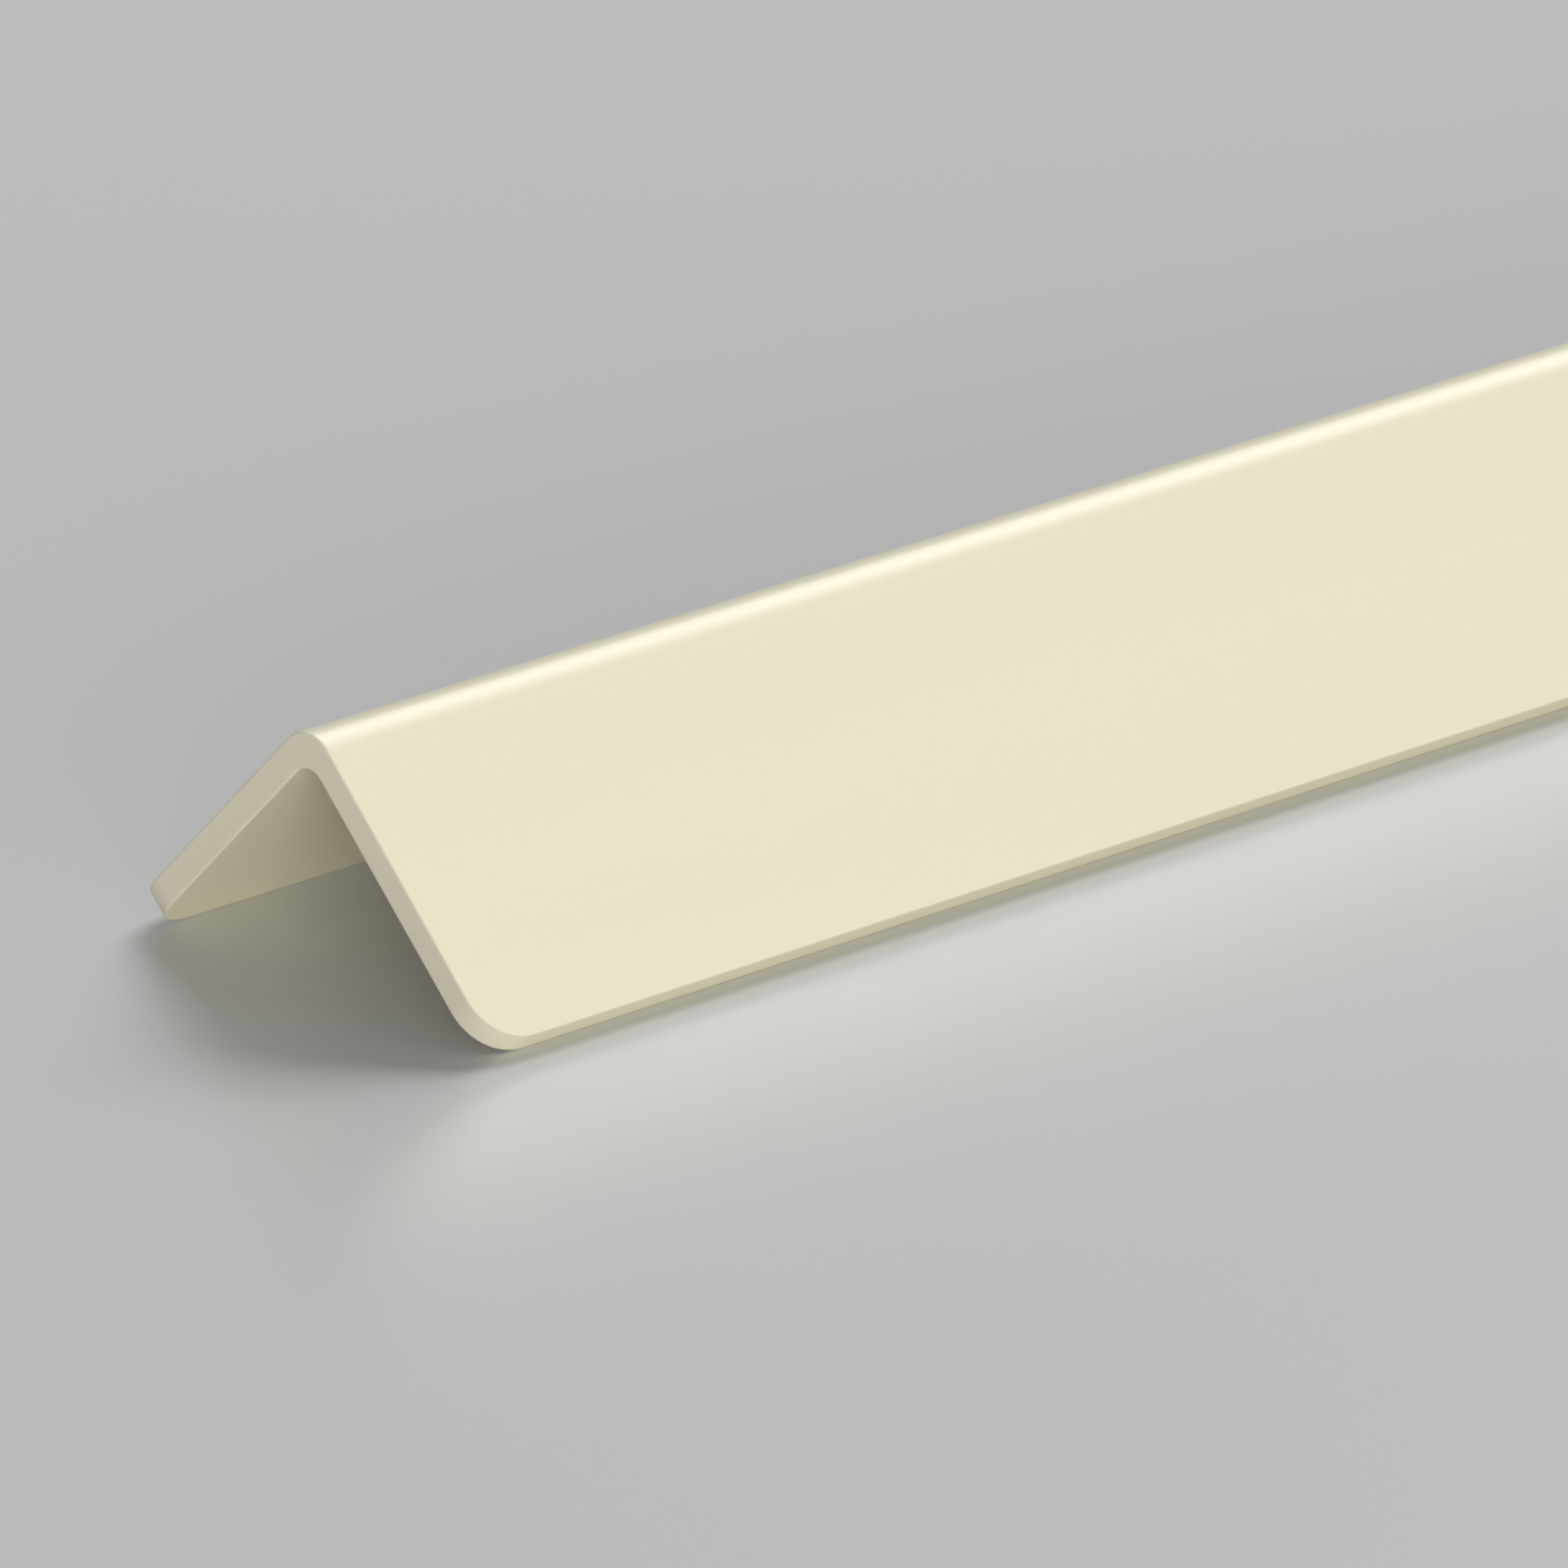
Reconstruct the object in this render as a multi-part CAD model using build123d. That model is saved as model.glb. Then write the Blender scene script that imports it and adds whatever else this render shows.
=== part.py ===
from build123d import *
import os
from math import cos, radians, sin

# A corner guard: one rigid PVC angle, extruded in a single piece and glued over an outside corner of a wall.
# It lies as it does on a floor, like a tent, with the bend on top and the free edges of both wings down.
# X runs along the guard and Z is up. The origin is on the floor, under the middle of the bend.

# Driving dimensions, in millimetres and degrees
stock_length = 1200.0      # the length that the profile is cut to for sale
wing_width = 30.0          # a wing's outer face, from the sharp corner that the bend rounds off
wall_thickness = 2.5       # through each wing; the bend is a little thicker, to take knocks
wing_angle = 90.0          # between the two wings
bend_outer_radius = 3.4    # outside of the bend
bend_inner_radius = 2.0    # inside of the bend, where it lies on the corner of the wall
end_corner_radius = 4.4    # rounded corner of a wing at each cut end
edge_radius = 0.15         # easing that runs all round the rim, on both skins

# How a wing runs down from the sharp outer corner of the section, and which way its outer face looks
half_angle = radians(wing_angle / 2)
wing_sideways = sin(half_angle)
wing_drop = cos(half_angle)

# The inner corner of each free edge touches the floor, on its easing
easing_lift = edge_radius * (wing_sideways + wing_drop - 1)
corner_height = wing_width * wing_drop + wall_thickness * wing_sideways - easing_lift
free_edge_reach = wing_width * wing_sideways
free_edge_height = corner_height - wing_width * wing_drop


def extruded_angle():
    """The section, run along the length. Both corners of its bend are its highest, the outer one on top."""
    with BuildPart() as angle:
        with BuildSketch(Plane.YZ) as section:
            with BuildLine():
                Polyline(
                    (-free_edge_reach, free_edge_height),
                    (0, corner_height),
                    (free_edge_reach, free_edge_height),
                )
                offset(amount=wall_thickness, side=Side.RIGHT)
            make_face()
            fillet(section.vertices().sort_by(Axis.Y)[-2], bend_inner_radius)
            fillet(section.vertices().sort_by(Axis.Y)[-1], bend_outer_radius)
        extrude(amount=stock_length / 2, both=True)
    return angle.part


def free_edge_faces(body):
    """The long narrow face at the end of each wing, which lies furthest out along it."""
    corner = (0, 0, corner_height)
    wings = [Axis(corner, (0, side * wing_sideways, -wing_drop)) for side in (-1, 1)]
    return [body.faces().sort_by(wing)[-1] for wing in wings]


def rounded_ends(body):
    """Each wing's two corners are rounded through the wall, at both cut ends."""
    corners = [edge for face in free_edge_faces(body) for edge in face.edges().filter_by(Axis.X, reverse=True)]
    return fillet(corners, end_corner_radius)


def eased_rim(body):
    """The rim runs smoothly round the rounded corners and over the bend, so one easing follows it all round."""
    long_edges = [edge for face in free_edge_faces(body) for edge in face.edges().filter_by(Axis.X)]
    return fillet(long_edges, edge_radius)


corner_guard = eased_rim(rounded_ends(extruded_angle()))

os.makedirs("parts", exist_ok=True)
export_step(corner_guard, "parts/corner_guard.step")
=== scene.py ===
import bpy
from math import cos, pi, radians, sin, tan
from mathutils import Matrix, Vector


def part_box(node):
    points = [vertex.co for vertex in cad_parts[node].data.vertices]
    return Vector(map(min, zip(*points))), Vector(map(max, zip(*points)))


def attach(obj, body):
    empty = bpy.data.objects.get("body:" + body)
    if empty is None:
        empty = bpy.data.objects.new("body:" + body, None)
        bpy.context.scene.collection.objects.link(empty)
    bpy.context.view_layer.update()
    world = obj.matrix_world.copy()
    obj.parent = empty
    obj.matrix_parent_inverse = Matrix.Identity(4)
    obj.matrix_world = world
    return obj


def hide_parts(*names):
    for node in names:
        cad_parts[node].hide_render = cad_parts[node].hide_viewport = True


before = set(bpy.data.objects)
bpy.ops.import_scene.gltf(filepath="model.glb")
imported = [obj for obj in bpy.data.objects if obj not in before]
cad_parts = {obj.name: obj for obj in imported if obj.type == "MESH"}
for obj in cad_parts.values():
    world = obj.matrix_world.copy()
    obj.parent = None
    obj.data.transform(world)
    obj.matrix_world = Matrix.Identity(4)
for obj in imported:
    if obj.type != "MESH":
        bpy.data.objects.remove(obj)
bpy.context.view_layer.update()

# The corner guard
# One length of an angle, pressed out of a polished die in rigid PVC that is coloured through. Its two wings
# meet at a rounded bend that is a little thicker. It is sawn square, the corners of the wings are rounded
# through the wall, and the whole rim is eased. It lies loose on the floor.


class Wire:
    """An output socket of a node. Arithmetic on wires and numbers adds Math nodes to the same tree."""

    def __init__(self, node, output=0):
        self.socket = node.outputs[output]
        self.tree = node.id_data

    @staticmethod
    def add(tree, kind, settings, sockets):
        """A new node. Its settings come first, because they decide which sockets it has."""
        node = tree.nodes.new(kind)
        for name, value in settings.items():
            setattr(node, name, value)
        for key, value in sockets.items():
            if isinstance(value, Wire):
                tree.links.new(value.socket, node.inputs[key])
            else:
                node.inputs[key].default_value = value
        return node

    def math(self, operation, *values):
        sockets = dict(enumerate(values))
        return Wire(Wire.add(self.tree, "ShaderNodeMath", {"operation": operation}, sockets))

    def __add__(self, other):
        return self.math("ADD", self, other)

    def __radd__(self, other):
        return self.math("ADD", other, self)

    def __sub__(self, other):
        return self.math("SUBTRACT", self, other)

    def __rsub__(self, other):
        return self.math("SUBTRACT", other, self)

    def __mul__(self, other):
        return self.math("MULTIPLY", self, other)

    def __rmul__(self, other):
        return self.math("MULTIPLY", other, self)

    def __truediv__(self, other):
        return self.math("DIVIDE", self, other)

    def __rtruediv__(self, other):
        return self.math("DIVIDE", other, self)

    def at_least(self, other):
        return self.math("MAXIMUM", self, other)

    def at_most(self, other):
        return self.math("MINIMUM", self, other)

    def absolute(self):
        return self.math("ABSOLUTE", self)

    def sign(self):
        return self.math("SIGN", self)

    def sine(self):
        return self.math("SINE", self)

    def cosine(self):
        return self.math("COSINE", self)


# The plastic's colours, where the cut faces' colour is partly painted shade, and its sheen, which the saw
# dulls
ivory = (0.80, 0.76, 0.56, 1.0)
ivory_deep = (0.785, 0.744, 0.543, 1.0)
# The cut faces: a greyer ivory for the saw's duller surface, darkened further by painted shade
ivory_sawn_shaded = (0.63, 0.59, 0.455, 1.0)
drift_contrast = 1.6
pvc_ior = 1.53
satin_roughness = 0.40
sawn_roughness = 0.54

# Its fine relief: how far each kind rises from low to high, and how much the roughness varies with it
die_line_height = 0.0000108
grain_height = 0.0000084
saw_mark_height = 0.0000360
die_line_roughness = 0.06
grain_roughness = 0.05


def noise(tree, place, scale, detail, turned=(0.0, 0.0, 0.0)):
    """Noise about 0, between -0.5 and 0.5, with this many patches to the metre along X, Y and Z."""
    mapping = Wire.add(tree, "ShaderNodeMapping", {}, {"Vector": place, "Rotation": turned, "Scale": scale})
    sockets = {"Vector": Wire(mapping), "Scale": 1.0, "Detail": detail}
    return Wire(Wire.add(tree, "ShaderNodeTexNoise", {"noise_dimensions": "3D"}, sockets), "Fac") - 0.5


def mixed(tree, share, colour, other):
    """The colour, turned to the other one by this share, on the sockets of a Mix node that take colours."""
    sockets = {0: share, 6: colour, 7: other}
    return Wire(Wire.add(tree, "ShaderNodeMix", {"data_type": "RGBA"}, sockets), 2)


def ivory_pvc():
    """The finish: a satin skin from the die, and the duller cut faces that the saw left, painted darker as
    shade.
    """
    material = bpy.data.materials.new("ivory_pvc")
    material.use_nodes = True
    tree = material.node_tree
    tree.nodes.clear()
    place = Wire(Wire.add(tree, "ShaderNodeTexCoord", {}, {}), "Object")
    # The cut faces, for the saw's marks and roughness and for the painted shade in their colour
    sawn_and_shaded = Wire(Wire.add(tree, "ShaderNodeAttribute", {"attribute_name": "sawn_and_shaded"}, {}), "Fac")

    # Colour drifts a little along the length, where the melt ran through the die
    drift = noise(tree, place, scale=(4.0, 60.0, 60.0), detail=3.0)
    deepening = (drift * drift_contrast + 0.5).at_least(0.0).at_most(1.0)
    skin_colour = mixed(tree, deepening, ivory, ivory_deep)
    # The cut faces take their own colour, partly the saw's duller surface and partly painted shade
    colour = mixed(tree, sawn_and_shaded, skin_colour, ivory_sawn_shaded)

    # Lines from the die, a fine even grain, and saw marks that only the cut faces have
    die_lines = noise(tree, place, scale=(1.5, 1100.0, 1100.0), detail=2.0)
    grain = noise(tree, place, scale=(2600.0, 2600.0, 2600.0), detail=2.0)
    saw_marks = noise(tree, place, scale=(0.0, 150.0, 4200.0), detail=2.0, turned=(radians(25), 0.0, 0.0))
    skin_relief = die_lines * die_line_height + grain * grain_height
    relief = skin_relief * (1 - sawn_and_shaded) + saw_marks * saw_mark_height * sawn_and_shaded
    bump = Wire.add(tree, "ShaderNodeBump", {}, {"Strength": 1.0, "Distance": 1.0, "Height": relief})

    skin_roughness = satin_roughness + die_lines * die_line_roughness + grain * grain_roughness
    roughness = skin_roughness + sawn_and_shaded * (sawn_roughness - satin_roughness)
    finish = Wire.add(
        tree,
        "ShaderNodeBsdfPrincipled",
        {},
        {"Base Color": colour, "Roughness": roughness, "IOR": pvc_ior, "Normal": Wire(bump)},
    )
    Wire.add(tree, "ShaderNodeOutputMaterial", {}, {"Surface": Wire(finish)})
    return material


# Its sizes, in metres
guard_low, guard_high = (Vector(corner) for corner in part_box("corner_guard"))
stock_length = guard_high.x - guard_low.x
wing_width = 0.030
wall_thickness = 0.0025
bend_outer_radius = 0.0034
bend_inner_radius = 0.0020
end_corner_radius = 0.0044
edge_radius = 0.00015
half_angle = radians(45)

# The sharp outer corner that the bend rounds off, above the floor that the eased inner edges stand on
easing_lift = edge_radius * (sin(half_angle) + cos(half_angle) - 1)
corner_height = wing_width * cos(half_angle) + wall_thickness * sin(half_angle) - easing_lift

# How finely it is divided: rows along the whole length, and steps over each stretch of a wing and of its rim
rows = 122
bend_steps = 14
wing_steps = 9
corner_steps = 12
easing_steps = 4
rim_steps = 3
narrow_step = 0.00012

# Where its faces lie on their map, each pair as two strips from left to right. As shares of the map's height:
# the middle of the pair, how far the middle of each strip is from there, and half a strip
skin_strips = (0.370, 0.185, 0.175)
end_strips = (0.835, 0.045, 0.040)
edge_strips = (0.9625, 0.0175, 0.0125)
strip_half_length = 0.49


def spaced(place, steps, span):
    """A place from 0 to steps, spread over the span with a narrow first and last step beside the curves."""
    ends = place.at_most(1) + (place - (steps - 1)).at_least(0)
    middle = ((place - 1) / (steps - 2)).at_least(0).at_most(1)
    return ends * narrow_step + middle * (span - 2 * narrow_step)


def split(tree, vector):
    node = Wire.add(tree, "ShaderNodeSeparateXYZ", {}, {0: vector})
    return [Wire(node, axis) for axis in "XYZ"]


def joined(tree, x, y, z):
    return Wire(Wire.add(tree, "ShaderNodeCombineXYZ", {}, {"X": x, "Y": y, "Z": z}))


def strip(pair, side, place):
    """The height on the map of a place from -1 to 1 across the strip that belongs to this side of a pair."""
    middle, apart, half_height = pair
    return middle + side * apart + place * half_height


def place_on_map(tree, along_skin, across_skin, round_end, through_wall):
    """A map for textures: both skins laid flat, both ends and both free edges."""
    normal = Wire(Wire.add(tree, "GeometryNodeInputNormal", {}, {}))
    per_face = {"data_type": "FLOAT_VECTOR", "domain": "FACE"}
    facing = Wire(Wire.add(tree, "GeometryNodeFieldOnDomain", per_face, {"Value": normal}))
    end_side, edge_side, skin_side = split(tree, facing)
    on_skin = skin_side.absolute()
    along_strip = (on_skin + edge_side) * along_skin - end_side * round_end
    height = (
        on_skin * strip(skin_strips, skin_side, across_skin * skin_side)
        + end_side.absolute() * strip(end_strips, end_side, through_wall)
        + edge_side.absolute() * strip(edge_strips, edge_side, through_wall)
    )
    return joined(tree, 0.5 + along_strip * strip_half_length, height, 0.0)


def bent_blank():
    """A flat blank with rounded corners and an eased rim, bent once along its middle."""
    tree = bpy.data.node_groups.new("bent_blank", "GeometryNodeTree")
    sizes = ("Length", "Wing width", "Wall thickness", "Outer bend radius", "Inner bend radius")
    for name in (*sizes, "End corner radius", "Edge radius", "Corner height"):
        tree.interface.new_socket(name, in_out="INPUT", socket_type="NodeSocketFloat")
    tree.interface.new_socket("Guard", in_out="OUTPUT", socket_type="NodeSocketGeometry")
    given = Wire.add(tree, "NodeGroupInput", {}, {})
    length, wing, wall, outer_radius, inner_radius = (Wire(given, name) for name in sizes)
    corner_radius = Wire(given, "End corner radius")
    easing = Wire(given, "Edge radius")

    # A closed box of squares, from -1 to 1 each way: along the guard, across it and through its wall
    half_columns = bend_steps + wing_steps + corner_steps
    levels = 2 * easing_steps + rim_steps
    counts = {"Vertices X": rows + 1, "Vertices Y": 2 * half_columns + 1, "Vertices Z": levels + 1}
    squares = Wire.add(tree, "GeometryNodeMeshCube", {}, {"Size": (2.0, 2.0, 2.0), **counts})
    along, across, through = split(tree, Wire(Wire.add(tree, "GeometryNodeInputPosition", {}, {})))

    # Through the wall: over the outer easing, straight down the rim and under the inner easing
    level = (1 - through) * (levels / 2)
    outer_turn = level.at_most(easing_steps) * (pi / 2 / easing_steps)
    inner_turn = (level - (levels - easing_steps)).at_least(0) * (pi / 2 / easing_steps)
    rim_run = spaced((level - easing_steps).at_least(0).at_most(rim_steps), rim_steps, wall - 2 * easing)
    inset = easing * (2 - outer_turn.sine() - inner_turn.cosine())
    depth = easing * (1 - outer_turn.cosine() + inner_turn.sine()) + rim_run
    wall_run = easing * (outer_turn + inner_turn) + rim_run

    # The bend's radius and its centre, which lies deeper under the outer skin towards the inner one
    radius = outer_radius - (outer_radius - inner_radius) * (depth / wall)
    centre_depth = depth + radius

    # Across the guard: round the bend, down the flat of the wing and round its end corner
    wing_side = across.sign()
    column = across * wing_side * half_columns
    bend_turn = column.at_most(bend_steps) * ((pi / 2 - half_angle) / bend_steps)
    corner_turn = (column - (bend_steps + wing_steps)).at_least(0) * (pi / 2 / corner_steps)
    flat_of_wing = wing - centre_depth / tan(half_angle) - corner_radius
    wing_run = spaced((column - bend_steps).at_least(0).at_most(wing_steps), wing_steps, flat_of_wing)
    down_wing = wing_run + (corner_radius - inset) * corner_turn.sine()
    bend_run = radius * bend_turn
    rim_way = bend_run + wing_run + corner_radius * corner_turn

    # Along the guard, to an end that the rounded corners draw in
    reach = length / 2 - corner_radius + (corner_radius - inset) * corner_turn.cosine()
    x = spaced((along + 1) * (rows / 2), rows, 2 * reach) - reach

    # Bent about that centre, with the wings running down from it on both sides
    y = (radius * bend_turn.sine() + down_wing * bend_turn.cosine()) * wing_side
    centre_height = Wire(given, "Corner height") - centre_depth / sin(half_angle)
    z = centre_height + radius * bend_turn.cosine() - down_wing * bend_turn.sine()

    # The cut faces keep the saw's marks and take painted shade: the ends and the rounded corners, but not the
    # long free edges
    sawn_and_shaded = (1 - inset / easing) * corner_turn.cosine()

    # On the map, each way runs from -1 to 1
    on_map = place_on_map(
        tree,
        along_skin=x / (length / 2),
        across_skin=(bend_run + down_wing) / wing * wing_side,
        round_end=rim_way / (wing + corner_radius) * wing_side,
        through_wall=wall_run / (wall + (pi - 2) * easing) * 2 - 1,
    )

    # The box is marked while its faces still point straight along, across and through, and then bent
    by_point = {"data_type": "FLOAT", "domain": "POINT"}
    by_corner = {"data_type": "FLOAT2", "domain": "CORNER"}
    steps = (
        ("GeometryNodeStoreNamedAttribute", by_point, {"Name": "sawn_and_shaded", "Value": sawn_and_shaded}),
        ("GeometryNodeStoreNamedAttribute", by_corner, {"Name": "OFBake", "Value": on_map}),
        ("GeometryNodeSetPosition", {}, {"Position": joined(tree, x, y, z)}),
        ("GeometryNodeSetShadeSmooth", {}, {}),
        ("GeometryNodeRealizeInstances", {}, {}),
        ("GeometryNodeSetMaterial", {}, {"Material": ivory_pvc()}),
    )
    mesh = Wire(squares, "Mesh")
    for kind, settings, sockets in steps:
        mesh = Wire(Wire.add(tree, kind, settings, {"Geometry": mesh, **sockets}), "Geometry")
    Wire.add(tree, "NodeGroupOutput", {}, {"Guard": mesh})
    return tree


def made_by(tree, name, sizes):
    """A plain mesh object of what the tree makes with these sizes."""
    piece = bpy.data.objects.new(name, bpy.data.meshes.new(name))
    bpy.context.scene.collection.objects.link(piece)
    modifier = piece.modifiers.new(tree.name, "NODES")
    modifier.node_group = tree
    for socket in tree.interface.items_tree:
        if socket.in_out == "INPUT":
            modifier[socket.identifier] = sizes[socket.name]
    evaluated = piece.evaluated_get(bpy.context.evaluated_depsgraph_get())
    mesh = bpy.data.meshes.new_from_object(evaluated)
    piece.modifiers.remove(modifier)
    piece.data = mesh
    return piece


guard = made_by(
    bent_blank(),
    "ivory_corner_guard",
    {
        "Length": stock_length,
        "Wing width": wing_width,
        "Wall thickness": wall_thickness,
        "Outer bend radius": bend_outer_radius,
        "Inner bend radius": bend_inner_radius,
        "End corner radius": end_corner_radius,
        "Edge radius": edge_radius,
        "Corner height": corner_height,
    },
)
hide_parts("corner_guard")
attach(guard, "root")

# The floor
# A plain pale sheet that the guard lies on, far wider than any picture of it.
# It is smooth enough to give back a soft picture of the guard close to its edges.

floor_colour = (0.62, 0.62, 0.62, 1.0)
floor_roughness = 0.28
floor_half_side = 40.0

floor_mesh = bpy.data.meshes.new("floor")
floor_signs = ((-1, -1), (1, -1), (1, 1), (-1, 1))
floor_corners = [(x * floor_half_side, y * floor_half_side, 0.0) for x, y in floor_signs]
floor_mesh.from_pydata(floor_corners, [], [(0, 1, 2, 3)])
floor = bpy.data.objects.new("floor", floor_mesh)
bpy.context.scene.collection.objects.link(floor)
floor_paint = bpy.data.materials.new("floor_paint")
floor_paint.use_nodes = True
floor_finish = floor_paint.node_tree.nodes["Principled BSDF"]
floor_finish.inputs["Base Color"].default_value = floor_colour
floor_finish.inputs["Roughness"].default_value = floor_roughness
floor_mesh.materials.append(floor_paint)

# The light
# Soft studio light: a low wide panel in front, another off the near end, and a high one beyond the far end.
# Only the high one shows in gloss, as the sheen that runs along the bend. A pale room fills in the rest, and
# it stands behind the floor in any picture that looks past it.

room_light = 0.20
room_tone = 0.60

world = bpy.data.worlds.new("studio")
bpy.context.scene.world = world
world.use_nodes = True
world.node_tree.nodes.clear()
ray = Wire.add(world.node_tree, "ShaderNodeLightPath", {}, {})
looked_at = Wire(ray, "Is Camera Ray").at_least(Wire(ray, "Is Glossy Ray"))
room = Wire.add(
    world.node_tree,
    "ShaderNodeBackground",
    {},
    {"Color": (1.0, 1.0, 1.0, 1.0), "Strength": room_light + looked_at * (room_tone - room_light)},
)
Wire.add(world.node_tree, "ShaderNodeOutputWorld", {}, {"Surface": Wire(room)})


def softbox(name, place, aim, size, radiance, mirrored):
    """A panel of light at a place, facing the aim, with one side level. Gloss shows it only if mirrored."""
    light = bpy.data.lights.new(name, "AREA")
    light.shape = "RECTANGLE"
    light.size, light.size_y = size
    light.energy = radiance * pi * size[0] * size[1]
    panel = bpy.data.objects.new(name, light)
    back = (Vector(place) - Vector(aim)).normalized()
    side = Vector((0, 0, 1)).cross(back).normalized()
    rotation = Matrix((side, back.cross(side), back)).transposed()
    panel.matrix_world = Matrix.Translation(place) @ rotation.to_4x4()
    panel.visible_camera = False
    panel.visible_glossy = mirrored
    bpy.context.scene.collection.objects.link(panel)


softbox(
    "front_softbox",
    place=(-1.0, -3.6, 0.75),
    aim=(-0.3, 0.0, 0.0),
    size=(7.0, 1.3),
    radiance=1.9,
    mirrored=False,
)
softbox(
    "end_softbox",
    place=(-6.3, -5.6, 1.2),
    aim=(-0.5, 0.0, 0.0),
    size=(8.0, 2.2),
    radiance=8.6,
    mirrored=False,
)
softbox(
    "back_softbox",
    place=(2.3, 1.1, 3.3),
    aim=(-0.5, 0.0, 0.0),
    size=(2.7, 2.0),
    radiance=7.0,
    mirrored=True,
)

# The camera
# It stands where the photograph was taken from, with a long lens, and looks down on the near end.
# The near end of the sharp outer corner, which the bend rounds off, places it.

photo_side = 1600
near_corner_pixel = (313.9, 730.7)
focal_length_pixels = 16961.0
looks_down = radians(20.1)
turned_right = radians(42.7)
near_corner_depth = 1.2744

level_ahead = Vector((sin(turned_right), cos(turned_right), 0.0))
right = Vector((cos(turned_right), -sin(turned_right), 0.0))
ahead = cos(looks_down) * level_ahead - sin(looks_down) * Vector((0, 0, 1))
up = right.cross(ahead)
near_corner = Vector((guard_low.x, 0.0, corner_height))
metres_per_pixel = near_corner_depth / focal_length_pixels
off_right = (near_corner_pixel[0] - photo_side / 2) * metres_per_pixel
off_up = (photo_side / 2 - near_corner_pixel[1]) * metres_per_pixel

lens = bpy.data.cameras.new("camera")
lens.sensor_width = 36.0
lens.lens = lens.sensor_width * focal_length_pixels / photo_side
lens.clip_end = 200.0
camera = bpy.data.objects.new("camera", lens)
camera_place = near_corner - off_right * right - off_up * up - near_corner_depth * ahead
camera.matrix_world = Matrix.Translation(camera_place) @ Matrix((right, up, -ahead)).transposed().to_4x4()
bpy.context.scene.collection.objects.link(camera)
bpy.context.scene.camera = camera
bpy.context.scene.view_settings.view_transform = "Standard"
